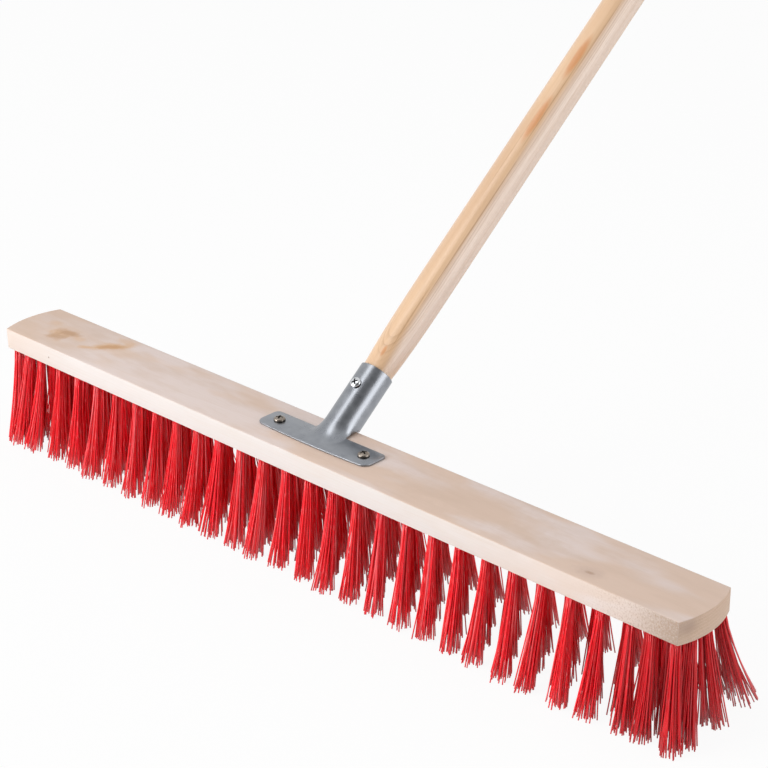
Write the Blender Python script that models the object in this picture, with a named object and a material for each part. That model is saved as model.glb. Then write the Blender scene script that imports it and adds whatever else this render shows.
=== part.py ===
"""A street broom: a flat wooden block with four staggered rows of bristle tufts, a pressed steel
socket bracket screwed on top of it, and a wooden handle held in the socket by one screw.

The block runs along X, its front faces -Y, and the handle rises towards +Y. The floor that the
bristles stand on is z = 0, and x = y = 0 is the middle of the broom's outline seen from above."""

import math
import random

import bmesh
import bpy
from mathutils import Vector

# Clearances
SEAT_GAP = 0.0003
OVERRUN = 0.002
SURFACE_DIP = 0.00015

# Wooden block
BLOCK_LENGTH = 0.800
BLOCK_WIDTH = 0.065
BLOCK_THICKNESS = 0.020
END_BULGE = 0.0068
BLOCK_EDGE_ROUND = 0.0008
BLOCK_EDGE_SEGMENTS = 2
END_ARC_STEPS = 16

# Slices of backing let into the underside of the block, each with its tufts
RIM_WALL = 0.0025
SLICE_THICKNESS = 0.003

# Tufts: four staggered rows at one pitch, with closer tufts towards both ends
FREE_LENGTH = 0.092
ROW_COUNT = 4
ROW_EDGE = 0.00625
TUFT_PITCH = 0.0279
CORNER_INSET = 0.0124
CORNER_STEP = 0.0210
MIDDLE_INSET = 0.0113
END_STEP = 0.0180
ROW_LEAN = math.radians(10.5)
END_LEAN = math.radians(8.0)

# Strands: each one stands for a dozen of the real filaments
STRANDS_PER_TUFT = 4
STRAND_SIDES = 3
STRAND_RADIUS = 0.00115
TUFT_ROOT_REACH = 0.0022
TUFT_TIP_REACH = 0.0062
TIP_JITTER = 0.0009
STRAND_SEED = 11

# Socket bracket, pressed from one sheet
SHEET = 0.0015
PLATE_LENGTH = 0.1305
PLATE_DEPTH = 0.0284
PLATE_FRONT_Y = -0.0135
PLATE_FRONT_BOW = 0.0018
PLATE_FRONT_STEPS = 12
PLATE_FRONT_ROUND = 0.0075
PLATE_BACK_ROUND = 0.0045
CORNER_STEPS = 5
SOCKET_BORE = 0.0280
SOCKET_Y = 0.0239
SOCKET_MOUTH = 0.0608
SOCKET_SIDES = 64
NECK_FLARE = 0.0105
NECK_CLIMB = 0.0170
NECK_STEPS = 8
NECK_FULL = math.radians(44.0)
NECK_END = math.radians(90.0)
RIM_LIFT = 0.0020
RIM_CLEARANCE = 0.0010
SEAM_WIDTH = 0.0010

# Handle
HANDLE_RISE = math.radians(38.1)
HANDLE_LENGTH = 1.400
HANDLE_DIAMETER = 0.0325
HANDLE_END_CHAMFER = 0.0010
HANDLE_TAPER = 0.110
HANDLE_TAPER_STEPS = 10
HANDLE_DOME = 0.012
HANDLE_DOME_STEPS = 6
HANDLE_SIDES = 48
MOUTH_REVEAL = 0.0015

# Screws through the plate
PLATE_SCREW_INSET = 0.015
PLATE_SCREW_SETBACK = 0.0126
PLATE_SCREW_HEAD = 0.0104
PLATE_SCREW_HEAD_HEIGHT = 0.0031
PLATE_SCREW_SHANK = 0.0042
PLATE_SCREW_LENGTH = 0.014

# Screw through the socket wall
CLAMP_SCREW_STATION = 0.0402
CLAMP_SCREW_HEAD = 0.0099
CLAMP_SCREW_HEAD_HEIGHT = 0.0028
CLAMP_SCREW_SHANK = 0.0048
CLAMP_SCREW_LENGTH = 0.016

SCREW_HEAD_STEPS = 4
SCREW_SIDES = 24
HEAD_RIM_SHARE = 0.25
SCREW_POINT_SHARE = 0.3

# Places worked out from the sizes above
UNDERSIDE_Z = FREE_LENGTH
TOP_Z = FREE_LENGTH + BLOCK_THICKNESS
SOCKET_RADIUS = SOCKET_BORE / 2 + SHEET
HANDLE_END_RADIUS = SOCKET_BORE / 2 - SEAT_GAP
PLATE_SCREW_X = PLATE_LENGTH / 2 - PLATE_SCREW_INSET
PLATE_BACK_Y = PLATE_FRONT_Y + PLATE_DEPTH
PLATE_SCREW_Y = PLATE_BACK_Y - PLATE_SCREW_SETBACK
ALONG_HANDLE = Vector((0, math.cos(HANDLE_RISE), math.sin(HANDLE_RISE)))
HANDLE_START = (HANDLE_END_RADIUS * math.cos(HANDLE_RISE) + SEAT_GAP) / math.sin(HANDLE_RISE)


def clear_scene():
    for obj in list(bpy.data.objects):
        bpy.data.objects.remove(obj, do_unlink=True)


def make_material(name, colour, roughness, metallic=0.0):
    material = bpy.data.materials.new(name)
    material.use_nodes = True
    shader = material.node_tree.nodes["Principled BSDF"]
    shader.inputs["Base Color"].default_value = (*colour, 1.0)
    shader.inputs["Roughness"].default_value = roughness
    shader.inputs["Metallic"].default_value = metallic
    return material


def make_empty(name, parent=None, location=(0, 0, 0), turn_x=0.0):
    empty = bpy.data.objects.new(name, None)
    bpy.context.scene.collection.objects.link(empty)
    empty.parent = parent
    empty.location = location
    empty.rotation_euler = (turn_x, 0, 0)
    return empty


def make_object(name, bm, material, parent, location=(0, 0, 0), turn_x=0.0, smooth=False):
    """Turns bm into an object of this name, with its faces pointing out."""
    bmesh.ops.recalc_face_normals(bm, faces=bm.faces)
    mesh = bpy.data.meshes.new(name)
    bm.to_mesh(mesh)
    bm.free()
    if smooth:
        mesh.shade_smooth()
        mesh.set_sharp_from_angle(angle=math.radians(35))
    obj = bpy.data.objects.new(name, mesh)
    bpy.context.scene.collection.objects.link(obj)
    obj.parent = parent
    obj.location = location
    obj.rotation_euler = (turn_x, 0, 0)
    if material:
        mesh.materials.append(material)
    return obj


def make_tool(name, bm, parent, location=(0, 0, 0), turn_x=0.0):
    """A helper that a Boolean uses and that is no piece of the broom."""
    tool = make_object(name, bm, None, parent, location, turn_x)
    tool.hide_render = True
    tool.display_type = "WIRE"
    return tool


def combine(obj, tool, operation):
    modifier = obj.modifiers.new(f"{operation.lower()} {tool.name}", "BOOLEAN")
    modifier.operation = operation
    modifier.solver = "EXACT"
    modifier.object = tool


def loft(rings, bm=None):
    """A closed solid through rings of points, with its two ends capped."""
    bm = bm or bmesh.new()
    layers = [[bm.verts.new(point) for point in ring] for ring in rings]
    for lower, upper in zip(layers, layers[1:]):
        for i in range(len(lower)):
            j = (i + 1) % len(lower)
            bm.faces.new((lower[i], lower[j], upper[j], upper[i]))
    bm.faces.new(layers[0])
    bm.faces.new(layers[-1])
    return bm


def prism(outline, low, high):
    return loft([[(x, y, z) for x, y in outline] for z in (low, high)])


def rectangle(half_width, near, far):
    """Outline from -half_width to half_width along X and from near to far along Y."""
    return [(-half_width, near), (half_width, near), (half_width, far), (-half_width, far)]


def turned(profile, sides):
    """A solid of revolution about Z through (radius, height) points, none of them on the axis."""
    turns = [2 * math.pi * i / sides for i in range(sides)]
    return loft([[(r * math.cos(t), r * math.sin(t), z) for t in turns] for r, z in profile])


def arc(centre, radius, start, end, steps):
    """Points from angle start to angle end, both included."""
    turns = [start + (end - start) * i / steps for i in range(steps + 1)]
    return [(centre[0] + radius * math.cos(t), centre[1] + radius * math.sin(t)) for t in turns]


def end_arc(inset):
    """Points of the block's bulged right end, drawn in by inset, from the front to the back."""
    radius = ((BLOCK_WIDTH / 2) ** 2 + END_BULGE**2) / (2 * END_BULGE)
    centre = BLOCK_LENGTH / 2 - radius
    half = math.asin((BLOCK_WIDTH / 2 - inset) / (radius - inset))
    return arc((centre, 0), radius - inset, -half, half, END_ARC_STEPS)


def block_outline(inset):
    right = end_arc(inset)
    return right + [(-x, -y) for x, y in right]


def tuft_columns():
    """Columns of tufts for x >= 0, each as (x in the first and third row, x in the others)."""
    half = BLOCK_LENGTH / 2
    last = half - CORNER_INSET - CORNER_STEP - END_STEP
    count = max(1, round(last / TUFT_PITCH - 0.5))
    pitch = last / (count + 0.5)
    columns = [(None, 0.0)]
    columns += [((i - 0.5) * pitch, i * pitch) for i in range(1, count + 1)]
    columns.append((last, half - MIDDLE_INSET - 2 * END_STEP))
    columns.append((last + END_STEP, half - MIDDLE_INSET - END_STEP))
    columns.append((half - CORNER_INSET, half - MIDDLE_INSET))
    return columns


def column_edges(columns):
    """Where each column's slice ends, half way to the next column."""
    edges = [(max(a or 0.0, b) + c) / 2 for (a, b), (c, _) in zip(columns, columns[1:])]
    return edges + [None]


def row_places():
    spacing = (BLOCK_WIDTH - 2 * ROW_EDGE) / (ROW_COUNT - 1)
    return [ROW_EDGE - BLOCK_WIDTH / 2 + i * spacing for i in range(ROW_COUNT)]


def tuft_lean(x, y):
    """How far the tip of a tuft's axis lies from its root, along X and along Y."""
    zone = CORNER_INSET + CORNER_STEP + 2 * END_STEP
    end_share = max(0.0, (abs(x) - BLOCK_LENGTH / 2 + zone) / (zone - CORNER_INSET))
    row_share = y / (BLOCK_WIDTH / 2 - ROW_EDGE)
    along = math.copysign(end_share, x) * math.tan(END_LEAN)
    across = row_share * math.tan(ROW_LEAN)
    return Vector((along * FREE_LENGTH, across * FREE_LENGTH, 0))


def strand_axes(x, y, side, chance):
    """The (root, tip) of each strand of one tuft, from the block's underside to the floor."""
    axes = []
    for i in range(STRANDS_PER_TUFT):
        turn = 2 * math.pi * (i + 0.5) / STRANDS_PER_TUFT
        out = Vector((math.cos(turn), math.sin(turn), 0))
        jitter = Vector((side * chance.uniform(-1, 1), chance.uniform(-1, 1), 0)) * TIP_JITTER
        root = Vector((x, y, UNDERSIDE_Z)) + out * TUFT_ROOT_REACH
        tip = Vector((x, y, 0)) + tuft_lean(x, y) + out * TUFT_TIP_REACH + jitter
        axes.append((root, tip))
    return axes


def strand(bm, root, tip, side):
    """One straight strand, rooted half way into its slice and cut level at the floor."""
    sink = SLICE_THICKNESS / 2
    buried = root + (root - tip) * sink / (root.z - tip.z)
    corners = [2 * math.pi * i / STRAND_SIDES for i in range(STRAND_SIDES)]
    spokes = [Vector((side * math.cos(c), math.sin(c), 0)) * STRAND_RADIUS for c in corners]
    loft([[end + spoke for spoke in spokes] for end in (tip, buried)], bm)


def slice_outline(low, high, side):
    """Plan of a slice between two places along X; high is None at the block's end."""
    reach = BLOCK_WIDTH / 2 - RIM_WALL - SEAT_GAP
    if high is None:
        points = [(low, reach), (low, -reach)] + end_arc(RIM_WALL + SEAT_GAP)
    else:
        points = [(low, reach), (low, -reach), (high, -reach), (high, reach)]
    return [(side * x, y) for x, y in points]


def make_slice(name, column, low, high, side, seed, material, parent):
    """One slice of backing fused with the strands of its tufts. Slices that mirror each other
    share a seed, so the two halves of the broom reach equally far."""
    chance = random.Random(seed)
    backing = prism(slice_outline(low, high, side), UNDERSIDE_Z, UNDERSIDE_Z + SLICE_THICKNESS)
    strands = bmesh.new()
    axes = []
    for index, y in enumerate(row_places()):
        x = column[index % 2]
        if x is not None:
            axes += strand_axes(side * x, y, side, chance)
    for root, tip in axes:
        strand(strands, root, tip, side)
    piece = make_object(name, backing, material, parent)
    combine(piece, make_tool(f"{name}_strands", strands, parent), "UNION")
    return axes


def least_gap(axes):
    """The least gap between any two strands, measured at steps down their length."""
    least = math.inf
    for share in (0.0, 0.5, 1.0):
        points = sorted((root.lerp(tip, share).to_tuple() for root, tip in axes))
        for i, (x, y, _) in enumerate(points):
            for u, v, _ in points[i + 1 :]:
                if u - x > least:
                    break
                least = min(least, math.hypot(u - x, v - y))
    return least - 2 * STRAND_RADIUS


def make_bristles(material, parent):
    columns = tuft_columns()
    edges = column_edges(columns)
    gap = SEAT_GAP / 2
    centre_edge = edges[0] - gap
    axes = []
    total = 2 * len(columns) - 1
    for number in range(1, total + 1):
        index = abs(number - len(columns))
        side = 1 if number >= len(columns) else -1
        low = -centre_edge if index == 0 else edges[index - 1] + gap
        high = None if edges[index] is None else edges[index] - gap
        name = f"bristles_{number:02d}"
        seed = STRAND_SEED + index
        axes += make_slice(name, columns[index], low, high, side, seed, material, parent)
    print(f"{len(axes)} strands, least gap {least_gap(axes) * 1000:.2f} mm")


def make_block(material, parent):
    block = make_object("block", prism(block_outline(0), UNDERSIDE_Z, TOP_Z), material, parent)
    bevel = block.modifiers.new("edges", "BEVEL")
    bevel.width = BLOCK_EDGE_ROUND
    bevel.segments = BLOCK_EDGE_SEGMENTS
    bevel.limit_method = "ANGLE"
    bevel.angle_limit = math.radians(40)
    depth = SLICE_THICKNESS + SEAT_GAP
    pocket = prism(block_outline(RIM_WALL), UNDERSIDE_Z - OVERRUN, UNDERSIDE_Z + depth)
    combine(block, make_tool("pocket_tool", pocket, parent), "DIFFERENCE")
    for side in (-1, 1):
        radius = PLATE_SCREW_SHANK / 2 + SEAT_GAP
        hole = turned([(radius, -PLATE_SCREW_LENGTH), (radius, OVERRUN)], SCREW_SIDES)
        place = (side * PLATE_SCREW_X, PLATE_SCREW_Y, TOP_Z)
        combine(block, make_tool(f"pilot_tool_{side}", hole, parent, place), "DIFFERENCE")


def plate_outline():
    """Plan of the plate: square-ended, with a bowed front edge and rounder corners there."""
    x, front, back = PLATE_LENGTH / 2, PLATE_FRONT_Y + PLATE_FRONT_BOW, PLATE_BACK_Y
    r, s = PLATE_FRONT_ROUND, PLATE_BACK_ROUND
    quarter = math.pi / 2
    points = arc((-x + r, front + r), r, -2 * quarter, -quarter, CORNER_STEPS)
    for i in range(1, PLATE_FRONT_STEPS):
        u = 2 * i / PLATE_FRONT_STEPS - 1
        points.append((u * (x - r), front - PLATE_FRONT_BOW * (1 - u * u)))
    points += arc((x - r, front + r), r, -quarter, 0, CORNER_STEPS)
    points += arc((x - s, back - s), s, 0, quarter, CORNER_STEPS)
    points += arc((-x + s, back - s), s, quarter, 2 * quarter, CORNER_STEPS)
    return points


def socket_column(turn):
    """Points up the outside of the socket at one turn about its axis, from deep below the plate
    to the mouth. Round the front the foot sweeps out over the plate in a hollow curve, which
    fades away along both sides."""
    slope = math.sin(HANDLE_RISE)
    foot_z = SHEET - SURFACE_DIP
    centre_y = SOCKET_Y + foot_z / math.tan(HANDLE_RISE)
    reach = SOCKET_RADIUS * math.cos(turn) / slope
    corner = Vector((SOCKET_RADIUS * math.sin(turn), centre_y - reach, foot_z))
    outward = Vector((math.sin(turn), -math.cos(turn) * slope, 0)).normalized()
    angle = min(turn, 2 * math.pi - turn)
    fade = min(1.0, max(0.0, (NECK_END - angle) / (NECK_END - NECK_FULL)))
    share = fade * fade * (3 - 2 * fade)
    flare = NECK_FLARE * share
    start = foot_z / slope - reach * math.cos(HANDLE_RISE)
    points = [corner + ALONG_HANDLE * (-1.5 * SOCKET_RADIUS / math.tan(HANDLE_RISE) - start)]
    sunk = Vector((0, 0, share)) + ALONG_HANDLE * (1 - share)
    points.append(corner + outward * flare - sunk * (foot_z + OVERRUN))
    for i in range(NECK_STEPS + 1):
        u = i / NECK_STEPS
        points.append(corner + outward * flare * (1 - u) ** 2 + ALONG_HANDLE * NECK_CLIMB * u**2)
    points.append(corner + ALONG_HANDLE * (SOCKET_MOUTH - start))
    return points


def below_bracket():
    """All that lies below the pressing: under the plate, then under the socket's free rim, which
    is level over the block and square to the socket behind it."""
    low, near, edge = -4 * SOCKET_RADIUS, 2 * PLATE_FRONT_Y, BLOCK_WIDTH / 2 + RIM_CLEARANCE
    far = edge + 3 * SOCKET_RADIUS * math.sin(HANDLE_RISE)
    drop = 3 * SOCKET_RADIUS * math.cos(HANDLE_RISE)
    section = [(near, low), (near, 0), (PLATE_BACK_Y, 0), (PLATE_BACK_Y, RIM_LIFT)]
    section += [(edge, RIM_LIFT), (far, RIM_LIFT - drop), (far, low)]
    return loft([[(x, y, z) for y, z in section] for x in (-PLATE_LENGTH, PLATE_LENGTH)])


def make_bracket(material, parent, socket):
    """The plate and the socket as one pressing: the outside is lofted, then bored and trimmed."""
    plate = prism(plate_outline(), -OVERRUN, SHEET)
    bracket = make_object("socket_bracket", plate, material, parent, (0, 0, SEAT_GAP), smooth=True)
    columns = [socket_column(2 * math.pi * i / SOCKET_SIDES) for i in range(SOCKET_SIDES)]
    outside = loft([list(ring) for ring in zip(*columns)])
    combine(bracket, make_tool("socket_tool", outside, parent, (0, 0, SEAT_GAP)), "UNION")
    reach = 2 * SOCKET_RADIUS / math.tan(HANDLE_RISE)
    top = SOCKET_MOUTH + OVERRUN
    bore = turned([(SOCKET_BORE / 2, -reach), (SOCKET_BORE / 2, top)], SOCKET_SIDES)
    combine(bracket, make_tool("bore_tool", bore, socket), "DIFFERENCE")
    below = make_tool("below_tool", below_bracket(), parent, (0, 0, SEAT_GAP))
    combine(bracket, below, "DIFFERENCE")
    seam = prism(rectangle(SEAM_WIDTH / 2, SOCKET_BORE / 4, SOCKET_RADIUS + OVERRUN), -reach, top)
    combine(bracket, make_tool("seam_tool", seam, socket), "DIFFERENCE")
    radius = PLATE_SCREW_SHANK / 2 + SEAT_GAP
    for side in (-1, 1):
        hole = turned([(radius, -OVERRUN), (radius, SHEET + OVERRUN)], SCREW_SIDES)
        place = (side * PLATE_SCREW_X, PLATE_SCREW_Y, SEAT_GAP)
        combine(bracket, make_tool(f"plate_hole_tool_{side}", hole, parent, place), "DIFFERENCE")
    radius = CLAMP_SCREW_SHANK / 2 + SEAT_GAP
    hole = turned([(radius, SOCKET_BORE / 4), (radius, SOCKET_RADIUS + OVERRUN)], SCREW_SIDES)
    tool = make_tool("clamp_hole_tool", hole, socket, (0, 0, CLAMP_SCREW_STATION), math.pi / 2)
    combine(bracket, tool, "DIFFERENCE")


def screw_solid(head, height, shank, length):
    """A pan-head screw with z = 0 under its head and its point downwards."""
    rim = height * HEAD_RIM_SHARE
    point = length * SCREW_POINT_SHARE
    profile = [(shank / 6, -length), (shank / 2, -length + point), (shank / 2, 0), (head / 2, 0)]
    for i in range(SCREW_HEAD_STEPS + 1):
        turn = math.pi / 2 * i / (SCREW_HEAD_STEPS + 1)
        profile.append((head / 2 * math.cos(turn), rim + (height - rim) * math.sin(turn)))
    return turned(profile, SCREW_SIDES)


def make_screws(plate_material, clamp_material, parent, socket):
    for side, name in ((-1, "plate_screw_left"), (1, "plate_screw_right")):
        solid = screw_solid(
            PLATE_SCREW_HEAD, PLATE_SCREW_HEAD_HEIGHT, PLATE_SCREW_SHANK, PLATE_SCREW_LENGTH
        )
        place = (side * PLATE_SCREW_X, PLATE_SCREW_Y, 2 * SEAT_GAP + SHEET)
        make_object(name, solid, plate_material, parent, place, smooth=True)
    solid = screw_solid(
        CLAMP_SCREW_HEAD, CLAMP_SCREW_HEAD_HEIGHT, CLAMP_SCREW_SHANK, CLAMP_SCREW_LENGTH
    )
    place = (0, -SOCKET_RADIUS - SEAT_GAP, CLAMP_SCREW_STATION)
    make_object("clamp_screw", solid, clamp_material, socket, place, math.pi / 2, smooth=True)


def handle_profile():
    """Radius and height up the handle, from the end in the socket to the rounded top."""
    body = HANDLE_DIAMETER / 2
    chamfer = HANDLE_END_CHAMFER
    seated = SOCKET_MOUTH - HANDLE_START + MOUTH_REVEAL
    profile = [(HANDLE_END_RADIUS - chamfer, 0), (HANDLE_END_RADIUS, chamfer)]
    for i in range(HANDLE_TAPER_STEPS + 1):
        u = i / HANDLE_TAPER_STEPS
        radius = HANDLE_END_RADIUS + (body - HANDLE_END_RADIUS) * (1 - (1 - u) ** 3)
        profile.append((radius, seated + HANDLE_TAPER * u))
    for i in range(HANDLE_DOME_STEPS + 1):
        turn = math.pi / 2 * i / (HANDLE_DOME_STEPS + 1)
        height = HANDLE_LENGTH - HANDLE_DOME * (1 - math.sin(turn))
        profile.append((body * math.cos(turn), height))
    return profile


def make_handle(material, socket):
    solid = turned(handle_profile(), HANDLE_SIDES)
    place = (0, 0, HANDLE_START)
    handle = make_object("handle", solid, material, socket, place, smooth=True)
    radius = CLAMP_SCREW_SHANK / 2 + SEAT_GAP
    tip = SOCKET_RADIUS + SEAT_GAP - CLAMP_SCREW_LENGTH
    hole = turned([(radius, tip - SEAT_GAP), (radius, SOCKET_RADIUS)], SCREW_SIDES)
    tool = make_tool("handle_pilot_tool", hole, socket, (0, 0, CLAMP_SCREW_STATION), math.pi / 2)
    combine(handle, tool, "DIFFERENCE")


def centre_on_floor(head):
    """Moves the broom along Y until x = y = 0 is the middle of its outline seen from above."""
    bpy.context.view_layer.update()
    places = []
    for obj in bpy.data.objects:
        if obj.type == "MESH" and (not obj.hide_render or obj.name.endswith("_strands")):
            places += [(obj.matrix_world @ vertex.co).y for vertex in obj.data.vertices]
    head.location.y -= (min(places) + max(places)) / 2


def main():
    clear_scene()
    beech = make_material("block_wood", (0.72, 0.58, 0.47), 0.62)
    pine = make_material("handle_wood", (0.80, 0.60, 0.40), 0.5)
    steel = make_material("zinc_plated_steel", (0.42, 0.45, 0.50), 0.38, 1.0)
    nickel = make_material("plate_screw_metal", (0.40, 0.36, 0.32), 0.35, 1.0)
    zinc = make_material("clamp_screw_metal", (0.62, 0.64, 0.67), 0.25, 1.0)
    red = make_material("red_bristle", (0.70, 0.01, 0.02), 0.35)

    head = make_empty("head")
    block_top = make_empty("block_top", head, (0, 0, TOP_Z))
    lean = HANDLE_RISE - math.pi / 2
    socket = make_empty("socket_axis", block_top, (0, SOCKET_Y, SEAT_GAP), lean)

    make_block(beech, head)
    make_bristles(red, head)
    make_bracket(steel, block_top, socket)
    make_screws(nickel, zinc, block_top, socket)
    make_handle(pine, socket)
    centre_on_floor(head)


main()
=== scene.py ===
# %% [markdown]
# # A street broom
#
# This broom has a wooden block with four rows of red bristle tufts, a socket bracket pressed
# from zinc-plated sheet steel, three screws and a round wooden handle. Its plain solids come
# from the CAD model, in metres. This script gives each of them the surface and the fine
# shape of the real piece, and keeps every piece where its solid is.

# %% Load the solids
import math
import random

import bmesh
import bpy
import numpy as np
from mathutils import Matrix, Vector


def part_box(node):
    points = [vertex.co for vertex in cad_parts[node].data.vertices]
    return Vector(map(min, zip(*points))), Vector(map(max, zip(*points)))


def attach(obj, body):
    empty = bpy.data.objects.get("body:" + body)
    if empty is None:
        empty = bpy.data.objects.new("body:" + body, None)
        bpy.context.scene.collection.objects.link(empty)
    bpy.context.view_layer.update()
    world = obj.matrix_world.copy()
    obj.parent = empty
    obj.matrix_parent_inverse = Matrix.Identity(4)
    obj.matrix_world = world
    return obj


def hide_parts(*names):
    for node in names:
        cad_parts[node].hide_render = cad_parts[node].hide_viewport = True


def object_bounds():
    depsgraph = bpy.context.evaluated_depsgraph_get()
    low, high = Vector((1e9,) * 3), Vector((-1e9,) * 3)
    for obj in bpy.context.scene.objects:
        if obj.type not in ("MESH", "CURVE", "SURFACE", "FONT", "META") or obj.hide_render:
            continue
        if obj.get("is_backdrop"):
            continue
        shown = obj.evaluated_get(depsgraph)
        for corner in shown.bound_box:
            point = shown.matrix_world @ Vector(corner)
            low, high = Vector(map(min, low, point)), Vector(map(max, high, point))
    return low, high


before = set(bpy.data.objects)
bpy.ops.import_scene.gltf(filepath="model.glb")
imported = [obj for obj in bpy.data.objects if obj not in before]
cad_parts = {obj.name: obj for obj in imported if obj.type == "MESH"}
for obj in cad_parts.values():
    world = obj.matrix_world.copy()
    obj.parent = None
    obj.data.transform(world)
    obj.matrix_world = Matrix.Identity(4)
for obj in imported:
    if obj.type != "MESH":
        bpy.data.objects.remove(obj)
cad_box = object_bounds()
block_low, block_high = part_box("block")


def rounded(values):
    return [round(v, 4) for v in values]


print("solids:", len(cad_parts), "block:", rounded(block_high - block_low))

# %% [markdown]
# ## Where things are
#
# The middle of the block's top face is the handiest place to measure from: the photograph's
# camera was worked out from there, and the bracket stands on it. The handle leans back from
# it at 38.1 degrees above level, so a second frame runs up the handle's axis.

# %% Places and directions
HEAD = Vector((0, (block_low.y + block_high.y) / 2, 0))
TOP = HEAD + Vector((0, 0, block_high.z))
UNDERSIDE = block_low.z
SEAT_GAP = 0.0003
HANDLE_RISE = math.radians(38.1)
COS_RISE, SIN_RISE = math.cos(HANDLE_RISE), math.sin(HANDLE_RISE)
SOCKET_FOOT = TOP + Vector((0, 0.0239, SEAT_GAP))
HANDLE_FRAME = Matrix.Translation(SOCKET_FOOT) @ Matrix.Rotation(HANDLE_RISE - math.pi / 2, 4, "X")
print("block top at", rounded(TOP), "socket foot at", rounded(SOCKET_FOOT))

# %% [markdown]
# ## The camera
#
# The plate's screws, the block's corners, the roots of the tufts and the mouth of the socket
# were marked in the photograph, and a camera was fitted until all of them fell in place. It
# stands in front of the broom and to its right, about 1.6 m away, and looks down by 25
# degrees. A sensor 36 mm wide with a 91 mm lens gives the photograph's frame. The Standard
# view shows each colour about as it was written.

# %% Camera
def new_object(name, data):
    """A new object in the scene that holds this mesh, light or camera."""
    made = bpy.data.objects.new(name, data)
    bpy.context.scene.collection.objects.link(made)
    return made


camera = new_object("camera", bpy.data.cameras.new("camera"))
camera.data.sensor_width = 36.0
camera.data.lens = 91.05
HEADING, TILT, ROLL = 0.7651, 1.13335, -0.01592
turn = Matrix.Rotation(HEADING, 4, "Z") @ Matrix.Rotation(TILT, 4, "X")
turn = turn @ Matrix.Rotation(ROLL, 4, "Z")
camera.matrix_world = Matrix.Translation(TOP + Vector((1.05545, -1.01883, 0.73694))) @ turn
bpy.context.scene.camera = camera
bpy.context.scene.view_settings.view_transform = "Standard"
print("camera at", rounded(camera.location))

# %% [markdown]
# ## Helpers for node trees
#
# Materials and Geometry Nodes are both trees of nodes. One helper adds a node, sets what it
# is told to set, and links its inputs or fills in their values. A second one gives a node's
# output as a signal. Signals can be added, multiplied or raised with plain signs, and each
# sign puts one more node in the tree, so a formula reads here as it does on paper.

# %% Node helper
class Signal:
    """A node's output, of a number or a vector. Every sign used on it adds one node."""

    def __init__(self, socket):
        self.socket, self.tree = socket, socket.id_data

    def step(self, operation, *values, **settings):
        """One step of arithmetic on the values; for vectors if this signal is one."""
        kind = "ShaderNodeVectorMath" if self.socket.type == "VECTOR" else "ShaderNodeMath"
        return signal(self.tree, kind, dict(enumerate(values)), operation=operation, **settings)

    def function(self, operation):
        return self.step(operation, self)

    def length(self):
        return self.step("LENGTH", self, output="Value")

    def dot(self, other):
        return self.step("DOT_PRODUCT", self, other, output="Value")

    def __add__(self, other):
        return self.step("ADD", self, other)

    def __sub__(self, other):
        return self.step("SUBTRACT", self, other)

    def __rsub__(self, other):
        return self.step("SUBTRACT", other, self)

    def __mul__(self, other):
        return self.step("MULTIPLY", self, other)

    def __truediv__(self, other):
        return self.step("DIVIDE", self, other)

    def __pow__(self, other):
        return self.step("POWER", self, other)


def add(tree, kind, inputs=None, **settings):
    """Adds one node; inputs maps a socket's name or number to a value, a signal or a list."""
    made = tree.nodes.new(kind)
    for key, value in settings.items():
        setattr(made, key, value)
    for key, value in (inputs or {}).items():
        for one in value if isinstance(value, list) else [value]:
            if isinstance(one, Signal):
                tree.links.new(one.socket, made.inputs[key])
            else:
                made.inputs[key].default_value = one
    return made


def signal(tree, kind, inputs=None, output=0, **settings):
    """Adds one node and gives one of its outputs."""
    return Signal(add(tree, kind, inputs, **settings).outputs[output])


def triple(tree, x, y, z):
    return signal(tree, "ShaderNodeCombineXYZ", {0: x, 1: y, 2: z})


def parts_of(vector):
    made = add(vector.tree, "ShaderNodeSeparateXYZ", {0: vector})
    return [Signal(output) for output in made.outputs]


def from_to(value, low, high, new_low=0.0, new_high=1.0, smooth=False):
    """Maps value from one range to another and stops at its ends."""
    ends = {"From Min": low, "From Max": high, "To Min": new_low, "To Max": new_high}
    kind = "SMOOTHSTEP" if smooth else "LINEAR"
    return signal(value.tree, "ShaderNodeMapRange", {"Value": value, **ends}, interpolation_type=kind)


# %% Material helpers
def set_shader(shader, **values):
    """Fills in or links the shader's inputs, which are named with _ for a space."""
    for key, value in values.items():
        socket = shader.inputs[key.replace("_", " ")]
        if isinstance(value, Signal):
            shader.id_data.links.new(value.socket, socket)
        else:
            socket.default_value = value


def new_material(name, **values):
    """A material with one Principled shader, and the values that are the same all over it."""
    material = bpy.data.materials.new(name)
    material.use_nodes = True
    shader = material.node_tree.nodes["Principled BSDF"]
    set_shader(shader, **values)
    return material, material.node_tree, shader


def mix_colour(mask, first, second):
    """The first colour where the mask is 0, the second where it is 1; colours or signals."""
    inputs = {0: mask}
    for index, colour in ((6, first), (7, second)):
        inputs[index] = colour if isinstance(colour, Signal) else (*colour, 1)
    return signal(mask.tree, "ShaderNodeMix", inputs, output=2, data_type="RGBA")


def layered(colour, *layers):
    """Lays colours over one another; each layer is a mask and a colour."""
    for mask, shade in layers:
        colour = mix_colour(mask, colour, shade)
    return colour


def bump(height, strength, distance):
    values = {"Height": height, "Strength": strength, "Distance": distance}
    return signal(height.tree, "ShaderNodeBump", values)


# %% [markdown]
# ## Floor, backdrop and light
#
# The photograph was taken on a bright white sweep: overhead softbox, a key light from the
# left, a weaker one from the right, and a dark studio behind the camera. The world is white
# for rays from the camera. For rays from shiny surfaces it is nearly white too, but dark
# behind the camera, because a shiny tube shows what stands round it, and the socket's stripes
# come from there. The light that falls on wood stays moderate. The floor is white for the
# same rays, but a small share of it is ordinary diffuse white, and that share keeps the
# broom's shadow.

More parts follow.
